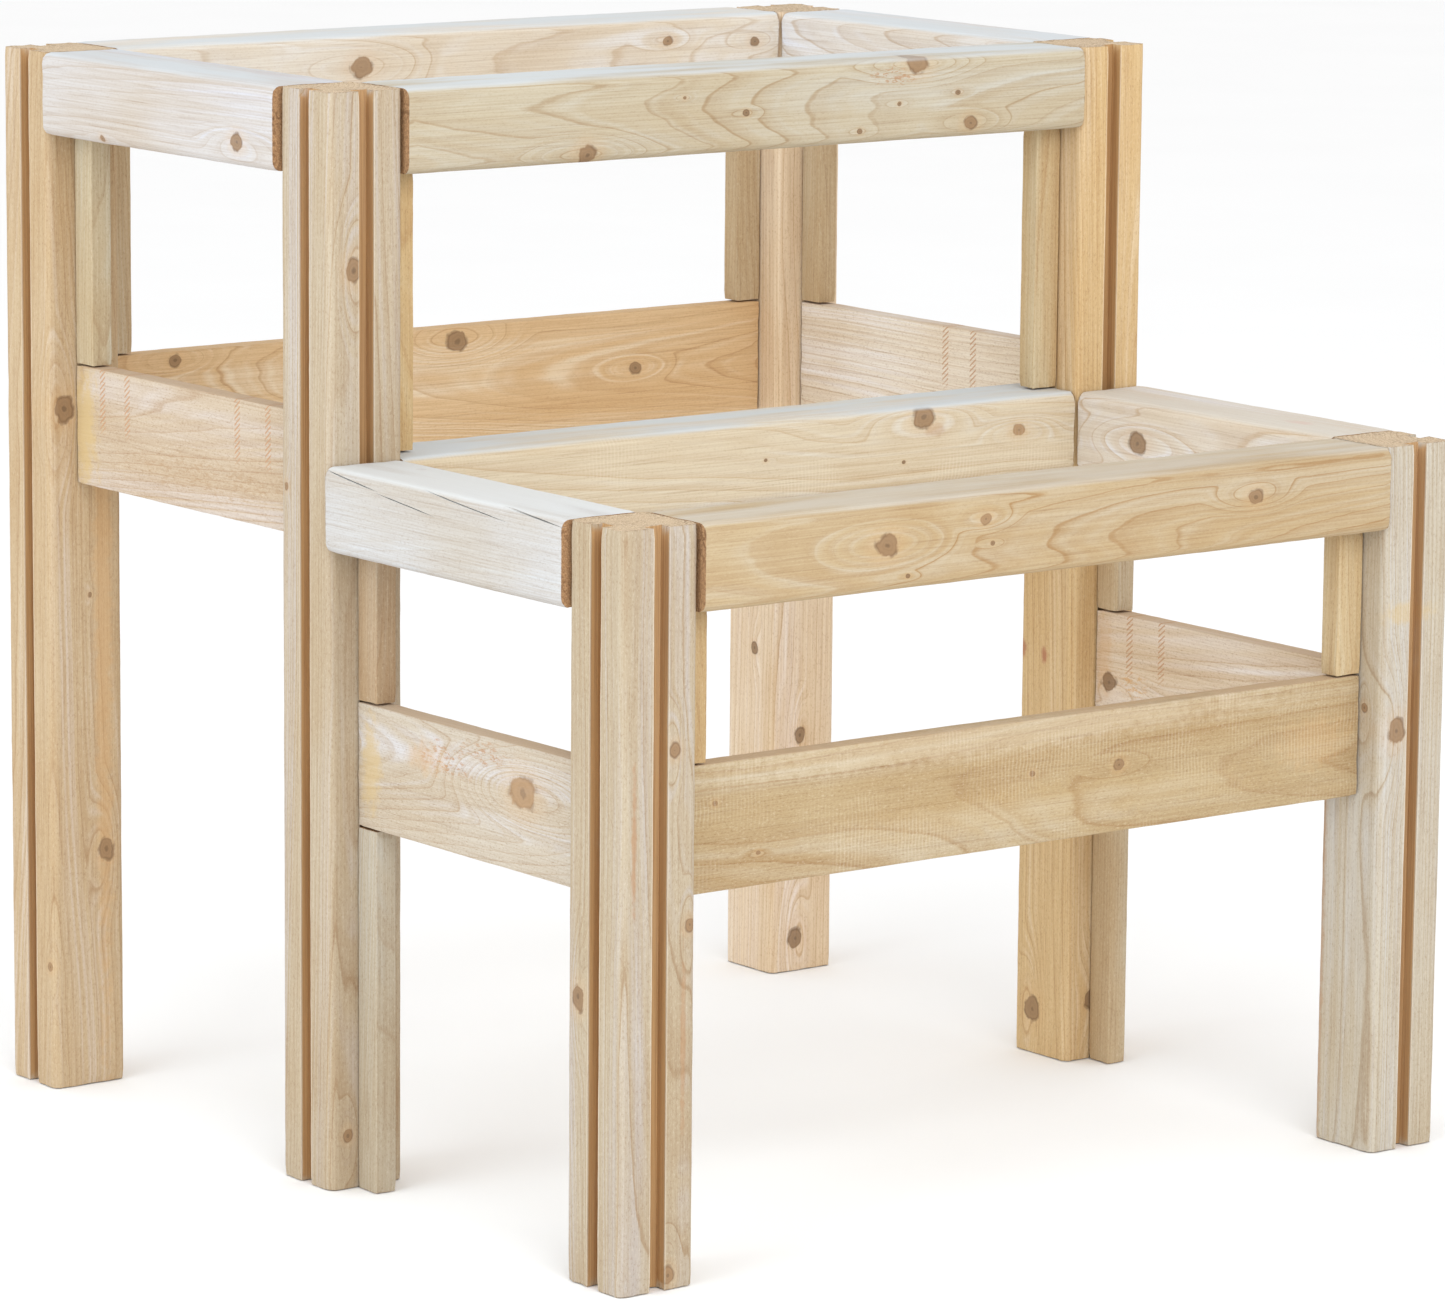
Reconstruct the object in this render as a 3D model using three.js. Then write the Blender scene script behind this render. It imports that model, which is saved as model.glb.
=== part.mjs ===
// Two-tier raised planter on six square posts, in millimetres, +Z up.
//
// A tall frame stands behind a low one, and the middle pair of posts carries both.
// Every post has one full-height groove on each face that looks out of the planter.
// Thick rims close each tier's top. Thin boards close it lower down, held apart from
// the rims by upright spacers. The front of the planter faces -Y.

import * as THREE from 'three';

// Overall sizes, measured over the posts.
const PLANTER_WIDTH = 750;
const LOW_TIER_DEPTH = 350;
const TALL_TIER_DEPTH = 439;
const TALL_TIER_HEIGHT = 790;
const LOW_TIER_HEIGHT = 527;

// Posts.
const POST_SIZE = 64;
const POST_EDGE_RADIUS = 6.5;
const GROOVE_WIDTH = 12;
const GROOVE_DEPTH = 10;

// Rims: flush with the posts on the bed's side, proud of them on the other.
const RIM_HEIGHT = 62;
const RIM_PROUD = 5;
const RIM_EDGE_RADIUS = 8;

// Boards, spacers and props are cut from stock of one thickness.
const BOARD_THICKNESS = 18;
const BOARD_HEIGHT = 90;
const SPACER_WIDTH = 24;
const BOARD_EDGE_RADIUS = 1.5;

// Open height between a rim's underside and the top of the board below it.
const TALL_WINDOW_HEIGHT = 173;
const LOW_WINDOW_HEIGHT = 109;

// Clearance left where two pieces touch.
const JOINT_GAP = 0.3;

// Straight steps in each quarter-round edge.
const ARC_STEPS = 5;

const QUARTER_TURN = Math.PI / 2;

// Sections, as width across the run, height and edge radius.
const RIM_STOCK = { width: POST_SIZE + RIM_PROUD, height: RIM_HEIGHT, radius: RIM_EDGE_RADIUS };
const BOARD_STOCK = { width: BOARD_THICKNESS, height: BOARD_HEIGHT, radius: BOARD_EDGE_RADIUS };

// Sawn cedar, from the palest sapwood to the warm heartwood.
const WOOD = {
  post: cedar('#dcc9ab'),
  tallRim: cedar('#dfd2ba'),
  lowRim: cedar('#ddc8a2'),
  paleRim: cedar('#e0d9cf'),
  board: cedar('#dcc6a2'),
  warmBoard: cedar('#c99a5f'),
  spacer: cedar('#d3b382'),
};

// Centre lines of the posts.
const POST_HALF = POST_SIZE / 2;
const POST_X = PLANTER_WIDTH / 2 - POST_HALF;
const FRONT_FACE_Y = -(LOW_TIER_DEPTH + TALL_TIER_DEPTH) / 2;
const FRONT_Y = FRONT_FACE_Y + POST_HALF;
const MID_Y = FRONT_Y + LOW_TIER_DEPTH;
const BACK_Y = -FRONT_Y;

// Levels above the floor.
const TALL_RIM_BOTTOM = TALL_TIER_HEIGHT - RIM_HEIGHT;
const LOW_RIM_BOTTOM = LOW_TIER_HEIGHT - RIM_HEIGHT;
const TALL_BOARD_TOP = TALL_RIM_BOTTOM - TALL_WINDOW_HEIGHT;
const LOW_BOARD_TOP = LOW_RIM_BOTTOM - LOW_WINDOW_HEIGHT;
const LOW_BOARD_BOTTOM = LOW_BOARD_TOP - BOARD_HEIGHT;

function cedar(color) {
  return new THREE.MeshStandardMaterial({ color, roughness: 0.82, metalness: 0 });
}

// Points of a quarter circle that starts at the given angle and turns left.
function quarterArc(centreX, centreY, radius, startAngle) {
  const points = [];
  for (let step = 0; step <= ARC_STEPS; step += 1) {
    const angle = startAngle + (step / ARC_STEPS) * QUARTER_TURN;
    const x = centreX + radius * Math.cos(angle);
    const y = centreY + radius * Math.sin(angle);
    points.push(new THREE.Vector2(x, y));
  }
  return points;
}

function roundedRectangle(width, height, radius) {
  const x = width / 2 - radius;
  const y = height / 2 - radius;
  return new THREE.Shape([
    ...quarterArc(x, -y, radius, -QUARTER_TURN),
    ...quarterArc(x, y, radius, 0),
    ...quarterArc(-x, y, radius, QUARTER_TURN),
    ...quarterArc(-x, -y, radius, 2 * QUARTER_TURN),
  ]);
}

// Square section with rounded corners and a groove in each side named.
function postSection(groovedSides) {
  const cornerCentre = POST_HALF - POST_EDGE_RADIUS;
  const grooveFloor = POST_HALF - GROOVE_DEPTH;
  const groove = [
    [-GROOVE_WIDTH / 2, -POST_HALF],
    [-GROOVE_WIDTH / 2, -grooveFloor],
    [GROOVE_WIDTH / 2, -grooveFloor],
    [GROOVE_WIDTH / 2, -POST_HALF],
  ];
  const origin = new THREE.Vector2();
  const points = [];
  ['front', 'right', 'back', 'left'].forEach((side, quarterTurns) => {
    const turn = quarterTurns * QUARTER_TURN;
    if (groovedSides.includes(side)) {
      points.push(...groove.map(([x, y]) => new THREE.Vector2(x, y).rotateAround(origin, turn)));
    }
    const corner = new THREE.Vector2(cornerCentre, -cornerCentre).rotateAround(origin, turn);
    points.push(...quarterArc(corner.x, corner.y, POST_EDGE_RADIUS, turn - QUARTER_TURN));
  });
  return new THREE.Shape(points);
}

// A straight stick of the given section, centred on its own origin and standing along Z.
function stick(name, section, length, material) {
  const geometry = new THREE.ExtrudeGeometry(section, { depth: length, bevelEnabled: false });
  geometry.translate(0, 0, -length / 2);
  const mesh = new THREE.Mesh(geometry, material);
  mesh.name = name;
  return mesh;
}

// An upright stick between two levels.
function upright(name, section, x, y, bottom, top, material) {
  const mesh = stick(name, section, top - bottom, material);
  mesh.position.set(x, y, (bottom + top) / 2);
  return mesh;
}

// A level bar along X between the posts of one row, with its top at the given level.
function barAcross(name, stock, y, top, material) {
  const length = 2 * (POST_X - POST_HALF - JOINT_GAP);
  const mesh = stick(name, roundedRectangle(stock.width, stock.height, stock.radius), length, material);
  mesh.rotation.set(QUARTER_TURN, 0, QUARTER_TURN, 'ZYX');
  mesh.position.set(0, y, top - stock.height / 2);
  return mesh;
}

// A level bar along Y between two posts of one side, with its top at the given level.
function barAlong(name, stock, x, postYs, top, material) {
  const [nearY, farY] = postYs;
  const length = farY - nearY - 2 * (POST_HALF + JOINT_GAP);
  const mesh = stick(name, roundedRectangle(stock.width, stock.height, stock.radius), length, material);
  mesh.rotation.set(QUARTER_TURN, 0, 0);
  mesh.position.set(x, (nearY + farY) / 2, top - stock.height / 2);
  return mesh;
}

function makePosts() {
  const rows = [
    { row: 'front', y: FRONT_Y, height: LOW_TIER_HEIGHT, outerSide: 'front' },
    { row: 'mid', y: MID_Y, height: TALL_TIER_HEIGHT, outerSide: 'front' },
    { row: 'back', y: BACK_Y, height: TALL_TIER_HEIGHT, outerSide: 'back' },
  ];
  return rows.flatMap(({ row, y, height, outerSide }) => [
    upright(`post_${row}_left`, postSection([outerSide, 'left']), -POST_X, y, 0, height, WOOD.post),
    upright(`post_${row}_right`, postSection([outerSide, 'right']), POST_X, y, 0, height, WOOD.post),
  ]);
}

function makeRims() {
  const sideX = POST_X + RIM_PROUD / 2;
  const tall = TALL_TIER_HEIGHT;
  const low = LOW_TIER_HEIGHT;
  return [
    barAlong('rim_tall_left', RIM_STOCK, -sideX, [MID_Y, BACK_Y], tall, WOOD.tallRim),
    barAlong('rim_tall_right', RIM_STOCK, sideX, [MID_Y, BACK_Y], tall, WOOD.tallRim),
    barAcross('rim_tall_back', RIM_STOCK, BACK_Y + RIM_PROUD / 2, tall, WOOD.tallRim),
    barAcross('rim_tall_front', RIM_STOCK, MID_Y - RIM_PROUD / 2, tall, WOOD.tallRim),
    barAlong('rim_low_left', RIM_STOCK, -sideX, [FRONT_Y, MID_Y], low, WOOD.paleRim),
    barAlong('rim_low_right', RIM_STOCK, sideX, [FRONT_Y, MID_Y], low, WOOD.lowRim),
    barAcross('rim_low_back', RIM_STOCK, MID_Y + RIM_PROUD / 2, low, WOOD.lowRim),
    barAcross('rim_low_front', RIM_STOCK, FRONT_Y - RIM_PROUD / 2, low, WOOD.lowRim),
  ];
}

function makeBoards() {
  return [
    barAlong('board_tall_left', BOARD_STOCK, -POST_X, [MID_Y, BACK_Y], TALL_BOARD_TOP, WOOD.board),
    barAlong('board_tall_right', BOARD_STOCK, POST_X, [MID_Y, BACK_Y], TALL_BOARD_TOP, WOOD.board),
    barAcross('board_tall_back', BOARD_STOCK, BACK_Y, TALL_BOARD_TOP, WOOD.warmBoard),
    barAlong('board_low_left', BOARD_STOCK, -POST_X, [FRONT_Y, MID_Y], LOW_BOARD_TOP, WOOD.board),
    barAlong('board_low_right', BOARD_STOCK, POST_X, [FRONT_Y, MID_Y], LOW_BOARD_TOP, WOOD.board),
    barAcross('board_low_front', BOARD_STOCK, FRONT_Y, LOW_BOARD_TOP, WOOD.board),
  ];
}

// Spacers beside the posts of one row, on the planter's front or back.
function spacersAcross(tierSide, y, bottom, top) {
  const section = roundedRectangle(SPACER_WIDTH, BOARD_THICKNESS, BOARD_EDGE_RADIUS);
  const x = POST_X - POST_HALF - JOINT_GAP - SPACER_WIDTH / 2;
  return [
    upright(`spacer_${tierSide}_left`, section, -x, y, bottom, top, WOOD.spacer),
    upright(`spacer_${tierSide}_right`, section, x, y, bottom, top, WOOD.spacer),
  ];
}

// Spacers beside the posts of one tier, on the planter's two ends.
function spacersAlong(tier, postYs, bottom, top) {
  const section = roundedRectangle(BOARD_THICKNESS, SPACER_WIDTH, BOARD_EDGE_RADIUS);
  const inset = POST_HALF + JOINT_GAP + SPACER_WIDTH / 2;
  const frontY = postYs[0] + inset;
  const backY = postYs[1] - inset;
  return [
    upright(`spacer_${tier}_left_front`, section, -POST_X, frontY, bottom, top, WOOD.spacer),
    upright(`spacer_${tier}_left_back`, section, -POST_X, backY, bottom, top, WOOD.spacer),
    upright(`spacer_${tier}_right_front`, section, POST_X, frontY, bottom, top, WOOD.spacer),
    upright(`spacer_${tier}_right_back`, section, POST_X, backY, bottom, top, WOOD.spacer),
  ];
}

function makeSpacers() {
  const tallTop = TALL_RIM_BOTTOM - JOINT_GAP;
  const lowTop = LOW_RIM_BOTTOM - JOINT_GAP;
  const tallBottom = TALL_BOARD_TOP + JOINT_GAP;
  const lowBottom = LOW_BOARD_TOP + JOINT_GAP;
  return [
    ...spacersAcross('tall_back', BACK_Y, tallBottom, tallTop),
    ...spacersAcross('tall_front', MID_Y, LOW_TIER_HEIGHT + JOINT_GAP, tallTop),
    ...spacersAcross('low_front', FRONT_Y, lowBottom, lowTop),
    ...spacersAlong('tall', [MID_Y, BACK_Y], tallBottom, tallTop),
    ...spacersAlong('low', [FRONT_Y, MID_Y], lowBottom, lowTop),
  ];
}

// Props stand on the floor against the mid posts and carry the low tier's end boards.
function makeProps() {
  const section = roundedRectangle(BOARD_THICKNESS, SPACER_WIDTH, BOARD_EDGE_RADIUS);
  const y = MID_Y - POST_HALF - JOINT_GAP - SPACER_WIDTH / 2;
  const top = LOW_BOARD_BOTTOM - JOINT_GAP;
  return [
    upright('prop_left', section, -POST_X, y, 0, top, WOOD.spacer),
    upright('prop_right', section, POST_X, y, 0, top, WOOD.spacer),
  ];
}

const planter = new THREE.Group();
planter.add(...makePosts(), ...makeRims(), ...makeBoards(), ...makeSpacers(), ...makeProps());

export default planter;
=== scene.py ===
"""Two-tier raised planter in rough-sawn cedar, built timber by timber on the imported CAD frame."""

import sys
import logging
import math
from dataclasses import dataclass, field, fields, replace
from enum import Enum
from typing import Callable

import bmesh
import bpy
from mathutils import Matrix, Vector


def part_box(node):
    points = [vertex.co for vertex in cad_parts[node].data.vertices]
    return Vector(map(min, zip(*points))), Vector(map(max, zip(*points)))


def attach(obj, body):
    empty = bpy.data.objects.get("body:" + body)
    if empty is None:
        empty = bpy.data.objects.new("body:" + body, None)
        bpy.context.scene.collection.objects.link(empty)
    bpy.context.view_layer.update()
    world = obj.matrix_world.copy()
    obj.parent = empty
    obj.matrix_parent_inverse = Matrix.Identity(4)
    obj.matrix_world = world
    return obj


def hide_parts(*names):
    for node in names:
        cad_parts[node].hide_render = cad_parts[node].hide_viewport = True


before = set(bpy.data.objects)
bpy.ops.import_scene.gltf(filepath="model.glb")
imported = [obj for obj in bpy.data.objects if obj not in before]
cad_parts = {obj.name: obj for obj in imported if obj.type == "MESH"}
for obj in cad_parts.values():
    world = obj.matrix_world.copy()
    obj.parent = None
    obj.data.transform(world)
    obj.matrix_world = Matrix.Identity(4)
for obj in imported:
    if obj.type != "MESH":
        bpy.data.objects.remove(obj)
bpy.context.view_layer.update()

log = logging.getLogger("planter")

MM = 0.001

# Brightness of all the wood against its paint-card colours.
WOOD_LEVEL = 0.905

# Width of the dark ragged band at each cut end: partly wood the saw tore, partly painted shade.
END_BAND_WIDTH = 1.5 * MM

# Wear of a surface: size of the lumps, and the deepest wear.
HAND_WEAR = (40 * MM, 0.5 * MM)
SAW_WEAR = (7 * MM, 0.35 * MM)
END_WEAR = (3.5 * MM, 1.6 * MM)

# Spacing of the cuts that let a timber be worn: across it and along it.
CUT_ACROSS = 9 * MM
CUT_ALONG = 8 * MM

# How far a cutter stands out of the wood, and how near a vertex is to count as on an end face.
OVERCUT = 10 * MM
END_REACH = 0.4 * MM

# Planer's ripples and feed-roller dashes: distance from one to the next.
RIPPLE_PITCH = 3.2 * MM
ROLLER_PITCH = 4.2 * MM

# Height of the finest relief, and the angle above which an edge stays sharp.
RELIEF = 0.6 * MM
SHARP_ABOVE = math.radians(38)

Colour = tuple[float, float, float]
Socket = bpy.types.NodeSocket
Piece = bpy.types.Object


class Side(Enum):
    """A face of a timber: the axis it looks along, and which way."""

    LEFT = (0, -1)
    RIGHT = (0, 1)
    FRONT = (1, -1)
    BACK = (1, 1)
    TOP = (2, 1)

    @property
    def axis(self) -> int:
        """Axis number, 0 to 2."""
        return self.value[0]

    @property
    def sign(self) -> int:
        """Minus one or one."""
        return self.value[1]


class Grain(Enum):
    """The way a timber's fibres run."""

    ACROSS = 0
    ALONG = 1
    UPRIGHT = 2


def shade(red: int, green: int, blue: int) -> Colour:
    """Turns a paint-card colour, 0 to 255 a channel, into a linear one.

    Args:
        red: Red on the card.
        green: Green on the card.
        blue: Blue on the card.

    Returns:
        The linear colour.
    """

    def linear(channel: int) -> float:
        """One channel, from display to linear."""
        value = channel / 255
        return value / 12.92 if value <= 0.04045 else ((value + 0.055) / 1.055) ** 2.4

    return linear(red), linear(green), linear(blue)


# What is seen in the wood


@dataclass(frozen=True)
class Knot:
    """A knot on one face of a timber.

    Attributes:
        side: The face it shows on.
        along: Its place along the grain, 0 at the low end and 1 at the high end.
        across: Its place across that face, 0 to 1.
        radius: Radius in metres.
        dark: How dark its heart is, 0 to 1.
        swirl: How far the rings bend round it.
    """

    side: Side
    along: float
    across: float
    radius: float
    dark: float = 0.7
    swirl: float = 1.0


@dataclass(frozen=True)
class Stain:
    """A soft blotch of another colour on one face.

    Attributes:
        side: The face it shows on.
        along: Its place along the grain, 0 to 1.
        across: Its place across that face, 0 to 1.
        length: Half its length along the grain, in metres.
        width: Half its width, in metres.
        colour: Linear colour.
        strength: How strongly it shows, 0 to 1.
        torn: Whether it is a patch of torn grain, seen as dark pits.
    """

    side: Side
    along: float
    across: float
    length: float
    width: float
    colour: Colour
    strength: float
    torn: bool = False


@dataclass(frozen=True)
class Split:
    """A drying crack along the grain, narrowing to nothing at both ends.

    Attributes:
        side: The face it opens on.
        along: Its middle along the grain, 0 to 1.
        across: Its place across that face, 0 to 1.
        length: Length in metres.
        width: Widest opening in metres.
        slant: Angle to the grain, in degrees.
    """

    side: Side
    along: float
    across: float
    length: float
    width: float = 1.4 * MM
    slant: float = 2.0


@dataclass(frozen=True)
class CedarFinish:
    """Colours and figure of one cut of sawn cedar.

    Attributes:
        name: Name of the finish.
        pale: The pale ground between streaks.
        tan: The warmer streaks.
        late: The thin dark line that ends each year's ring.
        ring: Width of a year's ring, in metres.
        figure: How plainly the rings show, 0 to 1.
        streak: How much of the surface the warm streaks take, 0 to 1.
        fuzz: How woolly the sawn surface is, 0 to 1.
        top: Colour laid on the upward faces. On the rims it is grey-blue: partly weathering, partly
            painted reflection of the cool light from above.
        top_turned: How much of the top colour is laid, 0 to 1.
        end: Colour of the cut ends.
    """

    name: str
    pale: Colour
    tan: Colour
    late: Colour
    ring: float = 4.2 * MM
    figure: float = 0.55
    streak: float = 0.45
    fuzz: float = 0.6
    top: Colour = shade(206, 206, 202)
    top_turned: float = 0.0
    end: Colour = shade(190, 150, 110)

    def toned(self, red: float, green: float, blue: float) -> "CedarFinish":
        """Makes a copy of the finish with its wood tinted.

        Args:
            red: Factor on red.
            green: Factor on green.
            blue: Factor on blue.

        Returns:
            The tinted finish.
        """

        def tint(colour: Colour) -> Colour:
            """One colour, tinted."""
            return colour[0] * red, colour[1] * green, colour[2] * blue

        return replace(self, pale=tint(self.pale), tan=tint(self.tan), late=tint(self.late))


KNOT_HEART = shade(96, 70, 48)
KNOT_BROWN = shade(166, 132, 96)
KNOT_EDGE = shade(92, 64, 42)
AMBER = shade(202, 158, 106)
# Inside the grooves: fresh-sawn heartwood brown, darkened by painted shade and warmed by painted bounced
# light in the recess.
GROOVE_BROWN_AND_SHADE = shade(186, 146, 98)
GROOVE_LINE_AND_SHADE = shade(148, 106, 66)
ROLLER_RED = shade(184, 136, 98)
RUST_RED = shade(202, 128, 96)
BRICK_RED = shade(164, 104, 76)
CREAM = shade(236, 226, 206)
LEAF_BROWN = shade(170, 124, 84)
END_SHADOW = shade(104, 72, 46)
END_PIT = shade(120, 82, 52)
END_RING = shade(140, 92, 56)
STRAW = shade(200, 172, 120)


# Shader work


class Shader:
    """A material's node tree with short calls for the nodes that wood needs."""

    def __init__(self, name: str) -> None:
        """Starts a material with one shader and one output.

        Args:
            name: The material's name.
        """
        self.material = bpy.data.materials.new(name)
        self.material.use_nodes = True
        self.tree = self.material.node_tree
        self.tree.nodes.clear()
        self.surface = self.add("ShaderNodeBsdfPrincipled")
        output = self.add("ShaderNodeOutputMaterial")
        self.tree.links.new(self.surface.outputs["BSDF"], output.inputs["Surface"])

    def add(self, kind: str) -> bpy.types.Node:
        """Adds a node of a kind."""
        return self.tree.nodes.new(kind)

    def feed(self, socket: Socket, value: object) -> None:
        """Links or sets a socket.

        Args:
            socket: The input socket.
            value: Another node's output, or a constant.
        """
        if isinstance(value, Socket):
            self.tree.links.new(value, socket)
        elif isinstance(value, tuple) and len(value) == 3 and socket.type == "RGBA":
            socket.default_value = (*value, 1.0)
        else:
            socket.default_value = value

    def math(self, how: str, first: object, second: object = 0.0, clamp: bool = False) -> Socket:
        """A sum on two numbers.

        Args:
            how: The operation.
            first: Left side.
            second: Right side.
            clamp: Whether the result is held between 0 and 1.

        Returns:
            The result's socket.
        """
        node = self.add("ShaderNodeMath")
        node.operation = how
        node.use_clamp = clamp
        self.feed(node.inputs[0], first)
        self.feed(node.inputs[1], second)
        return node.outputs[0]

    def plus(self, first: object, second: object) -> Socket:
        """The sum of two numbers."""
        return self.math("ADD", first, second)

    def minus(self, first: object, second: object) -> Socket:
        """The first number less the second."""
        return self.math("SUBTRACT", first, second)

    def times(self, first: object, second: object) -> Socket:
        """The product of two numbers."""
        return self.math("MULTIPLY", first, second)

    def times_plus(self, first: object, second: object, third: float) -> Socket:
        """The product of two numbers, and a constant added."""
        total = self.math("MULTIPLY_ADD", first, second)
        total.node.inputs[2].default_value = third
        return total

    def vector(self, how: str, first: object, second: object = (0.0, 0.0, 0.0)) -> Socket:
        """A sum on two vectors.

        Args:
            how: The operation.
            first: Left side.
            second: Right side.

        Returns:
            The vector result, or the number for a length or a dot product.
        """
        node = self.add("ShaderNodeVectorMath")
        node.operation = how
        self.feed(node.inputs[0], first)
        self.feed(node.inputs[1], second)
        return node.outputs["Value" if how in ("LENGTH", "DOT_PRODUCT") else "Vector"]

    def step(self, value: object, low: float, high: float) -> Socket:
        """A soft step from 0 at low to 1 at high.

        Args:
            value: The number that is stepped.
            low: Where the result is 0.
            high: Where the result is 1. It may be the smaller of the two.

        Returns:
            The step's socket.
        """
        node = self.add("ShaderNodeMapRange")
        node.interpolation_type = "SMOOTHSTEP"
        flipped = low > high
        self.feed(node.inputs["Value"], value)
        node.inputs["From Min"].default_value = min(low, high)
        node.inputs["From Max"].default_value = max(low, high)
        node.inputs["To Min"].default_value = 1.0 if flipped else 0.0
        node.inputs["To Max"].default_value = 0.0 if flipped else 1.0
        return node.outputs[0]

    def mix(self, amount: object, first: object, second: object, how: str = "MIX") -> Socket:
        """Mixes two colours.

        Args:
            amount: 0 for the first, 1 for the second.
            first: First colour.
            second: Second colour.
            how: Blend mode.

        Returns:
            The mixed colour's socket.
        """
        node = self.add("ShaderNodeMix")
        node.data_type = "RGBA"
        node.blend_type = how
        self.feed(node.inputs[0], amount)
        self.feed(node.inputs[6], first)
        self.feed(node.inputs[7], second)
        return node.outputs[2]

    def noise(self, place: object, scale: float, detail: float = 2.0, rough: float = 0.5) -> Socket:
        """Smooth noise about 0.5.

        Args:
            place: Where it is read.
            scale: Lumps per metre.
            detail: Octaves.
            rough: How strong the finer octaves are.

        Returns:
            The noise value's socket.
        """
        node = self.add("ShaderNodeTexNoise")
        self.feed(node.inputs["Vector"], place)
        node.inputs["Scale"].default_value = scale
        node.inputs["Detail"].default_value = detail
        node.inputs["Roughness"].default_value = rough
        return node.outputs["Fac"]


class Coat(Shader):
    """A timber's material while it is built up: where a point lies, and the colour and relief so far."""

    def __init__(self, name: str, skin: "CedarSkin") -> None:
        """Starts the coat on the timber's own coordinates.

        Args:
            name: The material's name.
            skin: The timber's look.
        """
        super().__init__(name)
        self.seed = skin.seed
        self.place = self.add("ShaderNodeTexCoord").outputs["Object"]
        centre = (skin.low + skin.high) / 2
        parts = self.add("ShaderNodeSeparateXYZ")
        self.feed(parts.inputs[0], self.vector("SUBTRACT", self.place, tuple(centre)))
        self.length = parts.outputs[skin.grain.value]
        self.sideways = [parts.outputs[axis] for axis in range(3) if axis != skin.grain.value]
        self.colour: object = skin.finish.pale
        self.height: object = 0.0

    def grain_noise(self, along: float, across: float, detail: float = 2.0, rough: float = 0.5) -> Socket:
        """Noise drawn out along the grain, and shifted by the seed.

        Args:
            along: Lumps per metre along the grain.
            across: Lumps per metre across it.
            detail: Octaves.
            rough: How strong the finer octaves are.

        Returns:
            The noise value's socket.
        """
        join = self.add("ShaderNodeCombineXYZ")
        self.feed(join.inputs[0], self.times(self.sideways[0], across))
        self.feed(join.inputs[1], self.times(self.sideways[1], across))
        self.feed(join.inputs[2], self.times_plus(self.length, along, self.seed))
        return self.noise(join.outputs[0], 1.0, detail, rough)

    def lay(self, mask: object, share: float, colour: object) -> None:
        """Lays a colour over what is there."""
        self.colour = self.mix(self.times(mask, share), self.colour, colour)

    def tint(self, mask: object, share: float, colour: Colour) -> None:
        """Darkens what is there by a colour."""
        self.lay(mask, share, self.mix(1.0, self.colour, colour, "MULTIPLY"))

    def sink(self, mask: object, share: float) -> None:
        """Lowers the relief under a mask."""
        self.height = self.minus(self.height, self.times(mask, share))

    def seal(self, wool: Socket, late: Socket) -> None:
        """Puts the colour, the relief and a dry, woolly gloss on the shader.

        Args:
            wool: The wool's noise.
            late: The late wood's mask.
        """
        bump = self.add("ShaderNodeBump")
        bump.inputs["Strength"].default_value = 0.55
        bump.inputs["Distance"].default_value = RELIEF
        self.feed(bump.inputs["Height"], self.height)
        self.feed(self.surface.inputs["Normal"], bump.outputs[0])
        self.feed(self.surface.inputs["Base Color"], self.colour)
        rough = self.minus(self.times_plus(wool, 0.22, 0.66), self.times(late, 0.08))
        self.feed(self.surface.inputs["Roughness"], rough)
        self.surface.inputs["Specular IOR Level"].default_value = 0.28


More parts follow.
